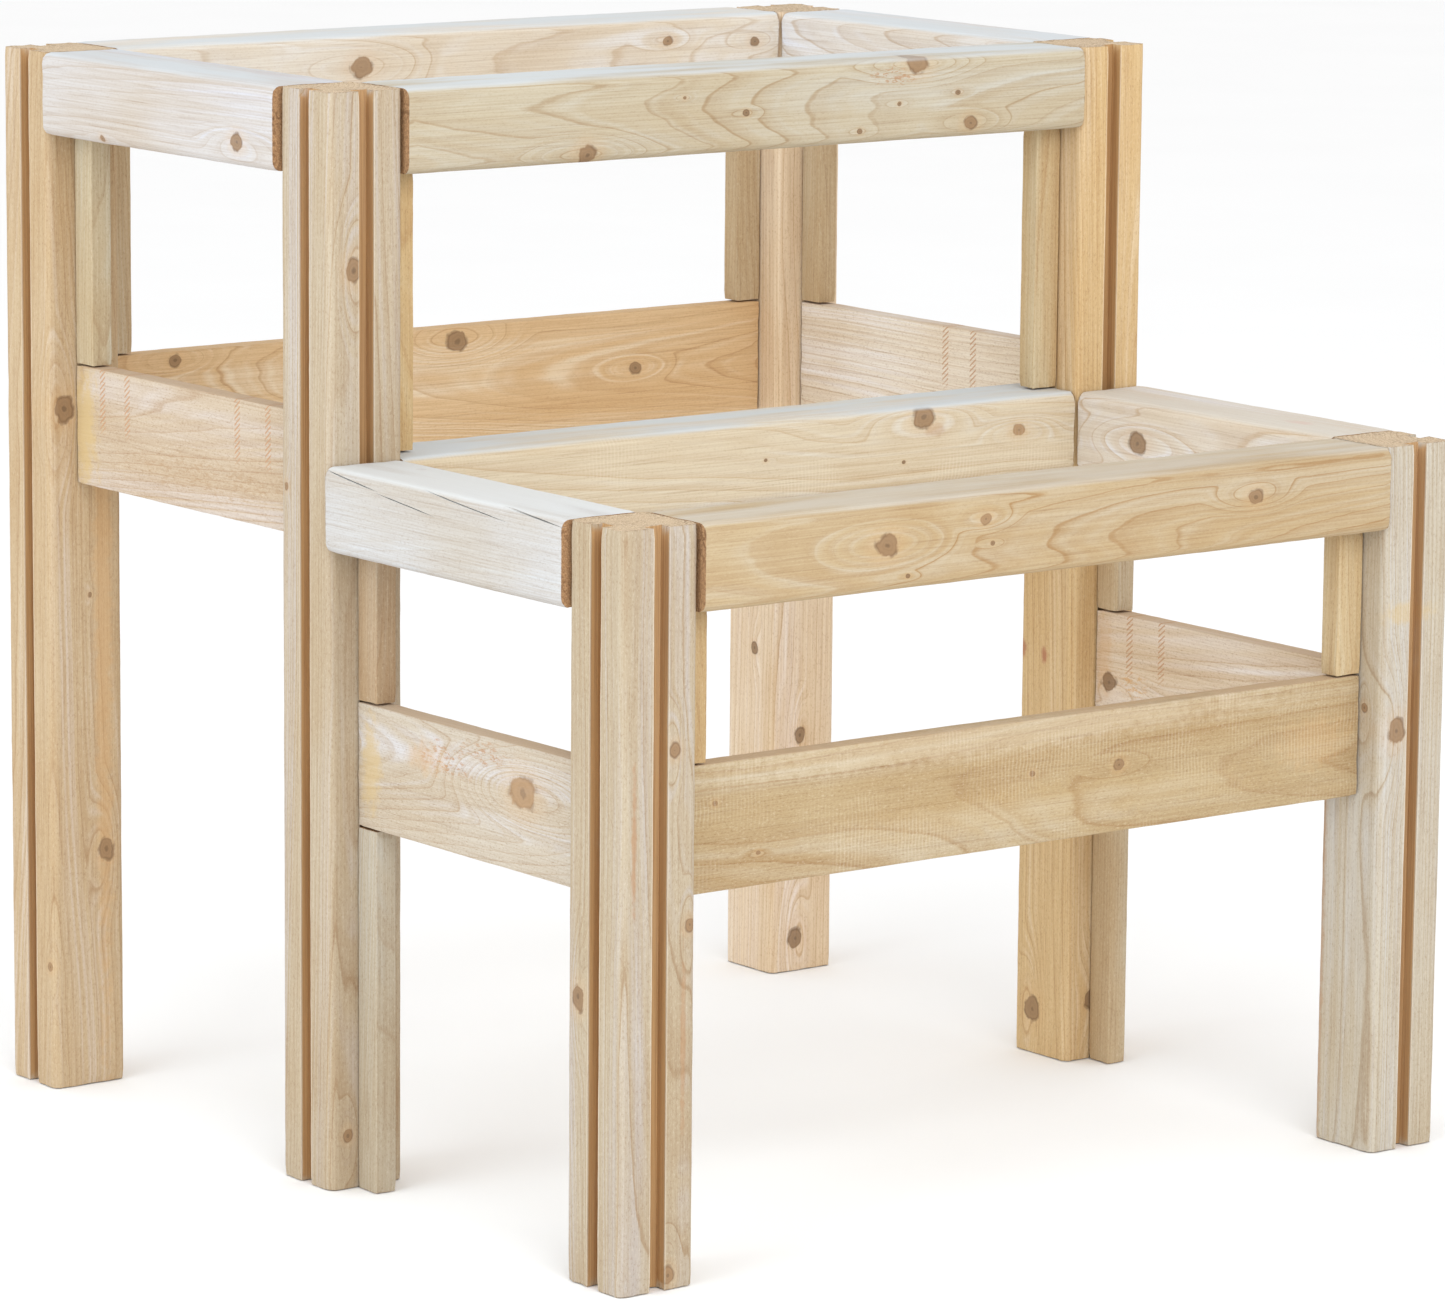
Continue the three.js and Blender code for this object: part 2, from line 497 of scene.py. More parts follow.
@dataclass
class CedarSkin:
    """The look of one timber: its finish, its knots, stains and saw marks.

    Attributes:
        finish: Colours and figure.
        grain: The way the fibres run.
        low: Lowest corner of the timber.
        high: Highest corner of the timber.
        pith: Where the tree's heart lay, across the grain from the timber's middle.
        tilt: How far the heart drifts sideways per metre of length.
        seed: Shifts the noise, so that no two timbers match.
        knots: Knots.
        stains: Stains.
        grooves: Faces with a groove down the middle.
        rollers: Places along the grain with a band of feed-roller marks, 0 to 1.
        chatter: How plainly the planer's ripples show, 0 to 1.
    """

    finish: CedarFinish
    grain: Grain
    low: Vector
    high: Vector
    pith: tuple[float, float] = (0.05, 0.03)
    tilt: tuple[float, float] = (0.06, 0.02)
    seed: float = 0.0
    knots: tuple[Knot, ...] = ()
    stains: tuple[Stain, ...] = ()
    grooves: tuple[Side, ...] = ()
    rollers: tuple[float, ...] = ()
    chatter: float = 0.0

    def spot(self, side: Side, along: float, across: float) -> Vector:
        """Finds a point on a face.

        Args:
            side: The face.
            along: Place along the grain, 0 to 1.
            across: Place across the face, 0 to 1.

        Returns:
            The point, in metres.
        """
        point = Vector((0.0, 0.0, 0.0))
        other = ({0, 1, 2} - {side.axis, self.grain.value}).pop()
        point[side.axis] = self.high[side.axis] if side.sign > 0 else self.low[side.axis]
        for axis, share in ((self.grain.value, along), (other, across)):
            point[axis] = self.low[axis] + share * (self.high[axis] - self.low[axis])
        return point

    def dress(self, name: str) -> bpy.types.Material:
        """Makes the timber's material.

        Args:
            name: The timber's name.

        Returns:
            The finished material.
        """
        coat = Coat(f"{self.finish.name}.{name}", self)
        heart, rim, halo, lift, dark = self.knot_masks(coat, coat.place)
        late, years = self.yearly_rings(coat, lift)
        self.lay_ground(coat, late, years)
        wool, lines = self.lay_fibres(coat)
        coat.sink(late, 0.06)
        self.lay_stains(coat)
        if self.knots:
            coat.lay(halo, 0.17, AMBER)
            coat.lay(heart, 0.86, coat.mix(dark, KNOT_BROWN, KNOT_HEART))
            broken = coat.step(coat.noise(coat.place, 85.0, 1.0), 0.42, 0.56)
            coat.lay(coat.times(rim, broken), 0.62, KNOT_EDGE)
            coat.sink(rim, 0.35)
        cut_end = self.lay_ends(coat, late)
        for side in self.grooves:
            inside, lip = self.groove_masks(coat, coat.place, side)
            inside = coat.times(inside, coat.minus(1.0, cut_end))
            # Inside each groove: fresh-sawn brown, partly painted shade and warm bounced light of the
            # recess.
            coat.lay(inside, 0.9, coat.mix(coat.times(lines, 0.5), GROOVE_BROWN_AND_SHADE, GROOVE_LINE_AND_SHADE))
            coat.lay(lip, 0.3, CREAM)
        self.lay_machine_marks(coat)
        coat.seal(wool, late)
        return coat.material

    def yearly_rings(self, coat: Coat, lift: object) -> tuple[Socket, Socket]:
        """Works out the rings round the pith, pushed aside by the knots.

        Args:
            coat: The material being made.
            lift: How far the knots push the rings.

        Returns:
            The late wood's mask, and a noise that varies from year to year.
        """
        wander = coat.times(coat.minus(coat.grain_noise(2.2, 9.0, 1.0), 0.5), 0.026)
        ripple = coat.times(coat.minus(coat.grain_noise(7.0, 60.0, 1.0), 0.5), 0.0022)
        offset = []
        for sideways, pith, tilt in zip(coat.sideways, self.pith, self.tilt):
            offset.append(coat.plus(coat.minus(sideways, pith), coat.times(coat.length, tilt)))
        radius = coat.math("SQRT", coat.plus(*(coat.times(value, value) for value in offset)))
        radius = coat.plus(coat.plus(radius, wander), coat.plus(ripple, lift))
        year = coat.math("DIVIDE", radius, self.finish.ring)
        within = coat.math("FRACT", year)
        broad = coat.times(coat.step(within, 0.25, 0.9), 0.35)
        late = coat.math("MAXIMUM", broad, coat.step(within, 0.82, 0.94))
        late = coat.times(late, coat.step(within, 1.0, 0.95))
        bands = coat.add("ShaderNodeTexNoise")
        bands.noise_dimensions = "1D"
        coat.feed(bands.inputs["W"], coat.plus(coat.times(year, 0.43), self.seed))
        bands.inputs["Detail"].default_value = 1.0
        years = bands.outputs["Fac"]
        return coat.times(late, coat.step(years, 0.22, 0.62)), years

    def lay_ground(self, coat: Coat, late: Socket, years: Socket) -> None:
        """Lays the pale ground, the warm streaks and the rings.

        Args:
            coat: The material being made.
            late: The late wood's mask.
            years: Noise that varies from year to year.
        """
        look = self.finish
        streaks = coat.plus(coat.grain_noise(1.6, 34.0, 3.0), coat.times(years, 0.35))
        bare = coat.step(streaks, 0.95 - 0.5 * look.streak, 0.52 - 0.3 * look.streak)
        coat.lay(coat.minus(1.0, bare), 1.0, look.tan)
        coat.lay(late, look.figure, look.late)
        coat.tint(coat.step(coat.grain_noise(6.0, 16.0, 3.0), 0.35, 0.75), 1.0, shade(246, 238, 226))

    def lay_fibres(self, coat: Coat) -> tuple[Socket, Socket]:
        """Lays the fibres, the short dark vessels and the saw's wool.

        Args:
            coat: The material being made.

        Returns:
            The wool's noise, and the mask of the fibres' dark lines.
        """
        fuzz = self.finish.fuzz
        fibre = coat.grain_noise(7.0, 820.0)
        wool = coat.grain_noise(420.0, 900.0, 2.0, 0.7)
        lines = coat.step(fibre, 0.62, 0.36)
        coat.tint(lines, 0.22, shade(204, 178, 146))
        coat.tint(coat.step(coat.grain_noise(16.0, 640.0, 1.0), 0.60, 0.72), 0.17, shade(176, 140, 104))
        coat.tint(coat.step(wool, 0.46, 0.30), 0.55 * fuzz, shade(188, 156, 122))
        coat.lay(coat.step(wool, 0.58, 0.70), 0.26 * fuzz, CREAM)
        coat.height = coat.plus(coat.times(fibre, 0.35), coat.times(wool, 0.55 * fuzz + 0.1))
        return wool, lines

    def lay_stains(self, coat: Coat) -> None:
        """Lays the stains and the patches of torn grain."""
        torn = coat.grain_noise(150.0, 380.0, 3.0, 0.75) if self.stains else 0.0
        for stain in self.stains:
            mask = self.blotch(coat, coat.place, stain)
            if stain.torn:
                mask = coat.times(mask, coat.step(torn, 0.50, 0.62))
            coat.lay(mask, stain.strength, stain.colour)

    def lay_ends(self, coat: Coat, late: Socket) -> Socket:
        """Lays the pitted cut ends, the dark band beside them (partly torn wood, partly painted shade) and
        the top colour (on the rims partly weathering, partly painted reflection of the light from above).

        Args:
            coat: The material being made.
            late: The late wood's mask.

        Returns:
            The mask of the cut ends.
        """
        look = self.finish
        normal = coat.add("ShaderNodeNewGeometry").outputs["Normal"]
        axis = tuple(1.0 if number == self.grain.value else 0.0 for number in range(3))
        cut_end = coat.step(coat.math("ABSOLUTE", coat.vector("DOT_PRODUCT", normal, axis)), 0.55, 0.85)
        pits = coat.step(coat.noise(coat.place, 900.0, 2.0, 0.7), 0.40, 0.62)
        end_colour = coat.mix(coat.times(pits, 0.45), look.end, END_PIT)
        coat.lay(cut_end, 1.0, coat.mix(coat.times(late, 0.5), end_colour, END_RING))
        coat.sink(coat.times(pits, cut_end), 0.8)

        # A dark ragged band at each cut end: partly saw-torn wood, partly painted shade.
        span = (self.high - self.low)[self.grain.value] / 2
        near_end = coat.step(coat.math("ABSOLUTE", coat.length), span - END_BAND_WIDTH, span - 0.3 * END_BAND_WIDTH)
        torn_end_and_shade = coat.times(near_end, coat.step(coat.noise(coat.place, 380.0), 0.46, 0.60))
        coat.lay(torn_end_and_shade, 0.7, END_SHADOW)

        # Upward faces take the top colour: on the rims paler and bluer, partly weathering, partly painted
        # reflection of the cool light from above.
        if look.top_turned:
            upward = coat.step(coat.vector("DOT_PRODUCT", normal, (0.0, 0.0, 1.0)), 0.55, 0.93)
            patch = coat.step(coat.grain_noise(5.0, 30.0, 3.0), 0.25, 0.6)
            coat.lay(coat.times(upward, patch), look.top_turned, look.top)
        return cut_end

    def lay_machine_marks(self, coat: Coat) -> None:
        """Lays the planer's ripples and the feed-roller marks."""
        if self.chatter:
            sway = coat.times(coat.grain_noise(30.0, 50.0), 9.0)
            waves = coat.math("SINE", coat.plus(coat.times(coat.length, 2 * math.pi / RIPPLE_PITCH), sway))
            patch = coat.step(coat.grain_noise(14.0, 22.0), 0.42, 0.68)
            waves = coat.times(coat.step(waves, -0.2, 0.9), coat.times(patch, self.chatter))
            coat.lay(waves, 0.32, CREAM)
            coat.sink(waves, -0.25)
        for band in self.rollers:
            mask = self.roller_band(coat, coat.length, coat.sideways, band)
            coat.lay(mask, 0.75, ROLLER_RED)
            coat.sink(mask, 0.5)

    def knot_masks(self, sh: Shader, place: Socket) -> tuple:
        """Masks of all the knots together.

        Args:
            sh: The material being made.
            place: Object coordinates.

        Returns:
            Heart, rim, halo, lift and darkness sockets, or zeros where there are no knots.
        """
        heart: object = 0.0
        rim: object = 0.0
        halo: object = 0.0
        lift: object = 0.0
        dark: object = 0.0
        wobble = sh.noise(place, 110.0, 3.0) if self.knots else 0.0
        for knot in self.knots:
            centre = self.spot(knot.side, knot.along, knot.across)
            reach = Vector((1.0, 1.0, 1.0)) / knot.radius
            reach[self.grain.value] *= 0.8
            reach[knot.side.axis] *= 0.3
            away = sh.vector("MULTIPLY", sh.vector("SUBTRACT", place, tuple(centre)), tuple(reach))
            distance = sh.vector("LENGTH", away)
            distance = sh.plus(distance, sh.times(sh.minus(wobble, 0.5), 0.95))
            core = sh.step(distance, 1.05, 0.85)
            edge = sh.step(sh.math("ABSOLUTE", sh.minus(distance, 0.98)), 0.24, 0.04)
            rings = sh.math("SINE", sh.times(distance, 17.0))
            deep = sh.times_plus(rings, 0.05, knot.dark * 0.7)
            deep = sh.math("ADD", deep, sh.times(sh.step(distance, 0.35, 0.05), 0.4), True)
            heart = sh.math("MAXIMUM", heart, core)
            rim = sh.math("MAXIMUM", rim, sh.times(edge, 0.4 + 0.6 * knot.dark))
            halo = sh.math("MAXIMUM", halo, sh.step(distance, 2.6, 0.9))
            dark = sh.math("MAXIMUM", dark, sh.times(core, deep))
            pull = Vector((1.0, 1.0, 1.0))
            pull[self.grain.value] = 0.36
            swept = sh.vector("LENGTH", sh.vector("MULTIPLY", away, tuple(pull)))
            push = sh.times(sh.step(swept, 3.0, 0.2), knot.radius * 1.5 * knot.swirl)
            lift = sh.plus(lift, push)
        return heart, rim, halo, lift, dark

    def blotch(self, sh: Shader, place: Socket, stain: Stain) -> Socket:
        """Mask of one stain, with a ragged edge.

        Args:
            sh: The material being made.
            place: Object coordinates.
            stain: The stain.

        Returns:
            The mask's socket.
        """
        centre = self.spot(stain.side, stain.along, stain.across)
        reach = Vector((1.0, 1.0, 1.0)) / stain.width
        reach[self.grain.value] = 1.0 / stain.length
        reach[stain.side.axis] = 1.0 / 0.015
        distance = sh.vector(
            "LENGTH", sh.vector("MULTIPLY", sh.vector("SUBTRACT", place, tuple(centre)), tuple(reach))
        )
        ragged = sh.times(sh.minus(sh.noise(place, 110.0, 3.0, 0.65), 0.5), 1.6)
        return sh.step(sh.plus(distance, ragged), 1.15, 0.35)

    def groove_masks(
        self, sh: Shader, place: Socket, side: Side
    ) -> tuple[Socket, Socket]:
        """Masks of the inside of a groove and of its two woolly lips.

        Args:
            sh: The material being made.
            place: Object coordinates.
            side: The grooved face.

        Returns:
            Sockets for the inside and for the lips.
        """
        surface = self.spot(side, 0.5, 0.5)
        local = sh.add("ShaderNodeSeparateXYZ")
        sh.feed(local.inputs[0], sh.vector("SUBTRACT", place, tuple(surface)))
        depth = sh.times(local.outputs[side.axis], -side.sign)
        other = ({0, 1} - {side.axis}).pop()
        across = sh.math("ABSOLUTE", local.outputs[other])
        inside = sh.times(sh.step(depth, 0.6 * MM, 2.2 * MM), sh.step(across, 6.9 * MM, 6.4 * MM))
        inside = sh.times(inside, sh.step(depth, 12.0 * MM, 11.0 * MM))
        edge = sh.times(sh.step(across, 7.4 * MM, 6.6 * MM), sh.step(across, 5.5 * MM, 5.9 * MM))
        return inside, sh.times(edge, sh.step(depth, 1.6 * MM, 0.9 * MM))

    def roller_band(
        self, sh: Shader, length: Socket, sideways: list[Socket], band: float
    ) -> Socket:
        """Mask of one band of feed-roller marks: short slanting dashes over the board's upper half.

        Args:
            sh: The material being made.
            length: Place along the grain.
            sideways: Places across the grain; the last is upwards.
            band: Place of the band along the grain, 0 to 1.

        Returns:
            The mask's socket.
        """
        run = self.high[self.grain.value] - self.low[self.grain.value]
        away = sh.math("ABSOLUTE", sh.minus(length, (band - 0.5) * run))
        strip = sh.step(away, 4.2 * MM, 3.2 * MM)
        upper = sh.step(sideways[-1], -0.008, 0.006)
        slant = sh.plus(sideways[-1], sh.times(length, 0.8))
        dashes = sh.step(sh.math("SINE", sh.times(slant, 2 * math.pi / ROLLER_PITCH)), 0.25, 0.6)
        return sh.times(sh.times(strip, upper), dashes)


# Bench work


class Bench:
    """The hand tools: each call works on one object through Blender's own operators."""

    @staticmethod
    def clear() -> None:
        """Puts everything down."""
        bpy.ops.object.select_all(action="DESELECT")

    @staticmethod
    def take(piece: Piece) -> None:
        """Picks one object up, and nothing else."""
        Bench.clear()
        piece.select_set(True)
        bpy.context.view_layer.objects.active = piece

    @staticmethod
    def block(name: str, low: Vector, high: Vector) -> Piece:
        """Adds a block at its size and place.

        Args:
            name: The block's name.
            low: Lowest corner.
            high: Highest corner.

        Returns:
            The block, with its place in its mesh.
        """
        Bench.clear()
        bpy.ops.mesh.primitive_cube_add(size=1.0, location=(low + high) / 2, scale=high - low)
        piece = bpy.context.object
        piece.name = name
        piece.data.name = name
        bpy.ops.object.transform_apply(location=True, rotation=True, scale=True)
        return piece

    @staticmethod
    def pick_edges(piece: Piece, wanted: Callable[[Vector, Vector], bool]) -> None:
        """In edit mode, selects the edges whose two ends pass a test.

        Args:
            piece: The object in edit mode.
            wanted: Test on an edge's two ends.
        """
        bpy.ops.mesh.select_mode(type="EDGE")
        bpy.ops.mesh.select_all(action="DESELECT")
        mesh = bmesh.from_edit_mesh(piece.data)
        for edge in mesh.edges:
            if wanted(edge.verts[0].co, edge.verts[1].co):
                edge.select_set(True)
        bmesh.update_edit_mesh(piece.data)

    @staticmethod
    def cut_away(piece: Piece, cutters: list[Piece]) -> None:
        """Cuts other objects' shapes out of a piece and throws the cutters away.

        Args:
            piece: The piece that is cut.
            cutters: The shapes taken out of it.
        """
        for cutter in cutters:
            Bench.take(piece)
            cut = piece.modifiers.new("cut", "BOOLEAN")
            cut.operation = "DIFFERENCE"
            cut.solver = "EXACT"
            cut.object = cutter
            bpy.ops.object.modifier_apply(modifier=cut.name)
            bpy.data.objects.remove(cutter)

    @staticmethod
    def slice_evenly(piece: Piece, axis: int, low: float, high: float, pieces: int) -> None:
        """Slices a piece in edit mode with evenly spaced planes.

        Args:
            piece: The object in edit mode.
            axis: The axis the planes stand across.
            low: Where the spacing starts.
            high: Where it ends.
            pieces: How many equal parts the run is cut in.
        """
        direction = Vector((0.0, 0.0, 0.0))
        direction[axis] = 1.0
        for number in range(1, pieces):
            level = low + (high - low) * number / pieces
            bpy.ops.mesh.select_all(action="SELECT")
            bpy.ops.mesh.bisect(plane_co=direction * level, plane_no=direction)

    @staticmethod
    def roughen(piece: Piece, lump: float, depth: float, group: str = "") -> None:
        """Wears a surface inwards by soft noise, and never outwards.

        Args:
            piece: The piece.
            lump: Size of the lumps.
            depth: Deepest wear.
            group: Vertex group that limits it, or empty.
        """
        name = f"wear_{round(lump / MM * 10)}"
        texture = bpy.data.textures.get(name) or bpy.data.textures.new(name, "CLOUDS")
        texture.noise_scale = lump
        texture.noise_depth = 2
        Bench.take(piece)
        wear = piece.modifiers.new("wear", "DISPLACE")
        wear.texture = texture
        wear.texture_coords = "LOCAL"
        wear.mid_level = 1.0
        wear.strength = depth
        wear.vertex_group = group
        bpy.ops.object.modifier_apply(modifier=wear.name)


@dataclass
class Timber:
    """One length of sawn cedar that stands for one CAD node.

    Attributes:
        node: The CAD node's name.
        grain: The way its fibres run.
        finish: Its finish.
        slot: The record's material slot; not used.
        arris: Radius of its long edges.
        seed: Sets it apart from its neighbours.
        pith: Where the tree's heart lay.
        tilt: How the heart drifts along the length.
        knots: Knots.
        stains: Stains.
        splits: Drying cracks.
        grooves: Faces with a groove.
        rollers: Bands of feed-roller marks.
        chatter: Planer's ripples.
        tone: Tint on the finish, for this one timber: partly its own colour, partly painted light and
            shade, each timber made paler or darker, cooler or warmer, as the light falls on it; the pieces
            seen inside the beds are paler and bluer.
        groove_width: Width of a groove.
        groove_depth: Depth of a groove.
    """

    node: str
    grain: Grain
    finish: CedarFinish
    slot: str
    arris: float
    seed: float = 0.0
    pith: tuple[float, float] = (0.05, 0.03)
    tilt: tuple[float, float] = (0.06, 0.02)
    knots: tuple[Knot, ...] = ()
    stains: tuple[Stain, ...] = ()
    splits: tuple[Split, ...] = ()
    grooves: tuple[Side, ...] = ()
    rollers: tuple[float, ...] = ()
    chatter: float = 0.0
    tone: Colour = (1.0, 1.0, 1.0)
    groove_width: float = 12 * MM
    groove_depth: float = 10 * MM
    low: Vector = field(init=False)
    high: Vector = field(init=False)

    def __post_init__(self) -> None:
        """Takes its place from the CAD node."""
        self.low, self.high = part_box(self.node)

    def is_long(self, first: Vector, second: Vector) -> bool:
        """Whether an edge runs nearly the timber's whole length."""
        axis = self.grain.value
        return abs(first[axis] - second[axis]) > 0.8 * (self.high[axis] - self.low[axis])

    def build(self) -> Piece:
        """Saws, grooves, wears and dresses the timber.

        Returns:
            The finished piece, riding on the part's only body.
        """
        axis = self.grain.value
        piece = Bench.block(self.node + "_cedar", self.low, self.high)
        bpy.ops.object.mode_set(mode="EDIT")
        Bench.pick_edges(piece, self.is_long)
        bpy.ops.mesh.bevel(offset=self.arris, segments=6, affect="EDGES")
        bpy.ops.object.mode_set(mode="OBJECT")
        Bench.cut_away(piece, [self.groove_cutter(side) for side in self.grooves])
        bpy.ops.object.mode_set(mode="EDIT")
        for across in {0, 1, 2} - {axis}:
            width = self.high[across] - self.low[across]
            parts = max(2, round(width / CUT_ACROSS))
            Bench.slice_evenly(piece, across, self.low[across], self.high[across], parts)
        Bench.pick_edges(piece, self.is_long)
        cuts = max(8, round((self.high[axis] - self.low[axis]) / CUT_ALONG))
        bpy.ops.mesh.subdivide(number_cuts=cuts)
        bpy.ops.object.mode_set(mode="OBJECT")
        self.mark_ends(piece)
        Bench.roughen(piece, *HAND_WEAR)
        Bench.roughen(piece, *SAW_WEAR)
        Bench.roughen(piece, *END_WEAR, "ends")
        piece.vertex_groups.clear()
        Bench.cut_away(piece, [self.split_cutter(split) for split in self.splits])
        Bench.take(piece)
        bpy.ops.object.shade_smooth_by_angle(angle=SHARP_ABOVE)
        self.dress(piece)
        return piece

    def mark_ends(self, piece: Piece) -> None:
        """Puts the end faces' vertices in a group, for the torn sawn ends."""
        axis = self.grain.value
        ends = [
            vertex.index
            for vertex in piece.data.vertices
            if min(vertex.co[axis] - self.low[axis], self.high[axis] - vertex.co[axis]) < END_REACH
        ]
        piece.vertex_groups.new(name="ends").add(ends, 1.0, "REPLACE")

    def groove_cutter(self, side: Side) -> Piece:
        """Makes the block that cuts one full-length groove.

        Args:
            side: The grooved face.

        Returns:
            The cutter.
        """
        axis = self.grain.value
        middle = (self.low + self.high) / 2
        low, high = middle.copy(), middle.copy()
        other = ({0, 1, 2} - {side.axis, axis}).pop()
        low[other] -= self.groove_width / 2
        high[other] += self.groove_width / 2
        low[axis] = self.low[axis] - OVERCUT
        high[axis] = self.high[axis] + OVERCUT
        if side.sign > 0:
            low[side.axis] = self.high[side.axis] - self.groove_depth
            high[side.axis] = self.high[side.axis] + OVERCUT
        else:
            low[side.axis] = self.low[side.axis] - OVERCUT
            high[side.axis] = self.low[side.axis] + self.groove_depth
        return Bench.block("groove_cutter", low, high)

    def skin(self) -> CedarSkin:
        """The timber's look."""
        shared = {entry.name: getattr(self, entry.name) for entry in fields(CedarSkin)}
        # The tone is partly painted light and shade: lit and shaded copies of the finish.
        shared["finish"] = self.finish.toned(*(WOOD_LEVEL * share for share in self.tone))
        return CedarSkin(**shared)

    def split_cutter(self, split: Split) -> Piece:
        """Makes the thin wedge that opens a drying crack.

        Args:
            split: The crack.

        Returns:
            The cutter.
        """
        middle = self.skin().spot(split.side, split.along, split.across)
        axis = self.grain.value
        other = ({0, 1, 2} - {split.side.axis, axis}).pop()
        half = Vector((0.0, 0.0, 0.0))
        half[axis] = split.length / 2
        half[other] = split.width / 2
        half[split.side.axis] = 5 * MM
        wedge = Bench.block("split_cutter", middle - half, middle + half)
        bpy.ops.object.mode_set(mode="EDIT")
        Bench.pick_edges(wedge, lambda a, b: abs(a[axis] - b[axis]) > 0.8 * split.length)
        bpy.ops.mesh.subdivide(number_cuts=3)
        tip = 0.49 * split.length
        Bench.pick_edges(wedge, lambda a, b: min(abs(v[axis] - middle[axis]) for v in (a, b)) > tip)
        narrow = Vector((1.0, 1.0, 1.0))
        narrow[other] = 0.05
        bpy.ops.transform.resize(value=narrow, center_override=middle)
        bpy.ops.mesh.select_all(action="SELECT")
        bpy.ops.transform.rotate(
            value=-math.radians(split.slant),
            orient_axis="XYZ"[split.side.axis],
            center_override=middle,
        )
        bpy.ops.object.mode_set(mode="OBJECT")
        return wedge

    def dress(self, piece: Piece) -> None:
        """Gives the piece its material, and hands it to the frame in place of the CAD node."""
        piece.data.materials.clear()
        piece.data.materials.append(self.skin().dress(self.node))
        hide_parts(self.node)
        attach(piece, "root")
        log.info("%s: %d faces", piece.name, len(piece.data.polygons))


# Finishes

POST_END = shade(222, 200, 168)
# Grey-blue for the rims' tops: partly weathering, partly painted reflection of the cool light from above.
BLUE_TOP_SHEEN = shade(200, 206, 210)
BOARD_TOP = shade(196, 168, 138)

POST_WARM = CedarFinish(
    "post_warm", shade(226, 202, 172), shade(214, 182, 138), shade(188, 148, 102),
    ring=4.4 * MM, figure=0.8, end=POST_END,
)
POST_PALE = CedarFinish(
    "post_pale", shade(220, 206, 188), shade(216, 194, 158), shade(190, 158, 118),
    ring=3.8 * MM, figure=0.8, end=POST_END,
)
POST_GREY = CedarFinish(
    "post_grey", shade(216, 206, 192), shade(210, 192, 164), shade(184, 158, 126),
    ring=4.0 * MM, figure=0.8, end=POST_END,
)
# The tall rims' grey-blue tops: partly weathering, partly painted reflection of the cool light from above.
TALL_RIM = CedarFinish(
    "tall_rim", shade(222, 212, 194), shade(216, 198, 168), shade(190, 160, 122),
    figure=0.9, fuzz=0.3, top=BLUE_TOP_SHEEN, top_turned=0.85,
)
# The low rims' grey tops: partly weathering, partly painted reflection of the light from above.
LOW_RIM = CedarFinish(
    "low_rim", shade(222, 206, 178), shade(214, 188, 146), shade(192, 154, 106),
    figure=0.95, fuzz=0.3, top_turned=0.45,
)
# The pale rim's grey top: partly weathering, partly painted reflection of the light from above.
PALE_RIM = CedarFinish(
    "pale_rim", shade(226, 224, 220), shade(220, 212, 204), shade(202, 186, 168),
    figure=0.35, fuzz=0.45, top=shade(212, 214, 214), top_turned=0.8,
)
BOARD = CedarFinish(
    "board", shade(224, 208, 186), shade(214, 190, 154), shade(192, 158, 118),
    figure=0.7, fuzz=0.7, top=BOARD_TOP, top_turned=0.6, end=shade(160, 118, 82),
)
WARM_BOARD = CedarFinish(
    "warm_board", shade(224, 190, 148), shade(210, 164, 112), shade(184, 134, 84),
    ring=2.8 * MM, figure=0.7, fuzz=0.35,
)
SPACER = CedarFinish(
    "spacer", shade(218, 200, 170), shade(210, 182, 142), shade(186, 150, 108), ring=3.4 * MM, figure=0.5
)


# Sub-assemblies


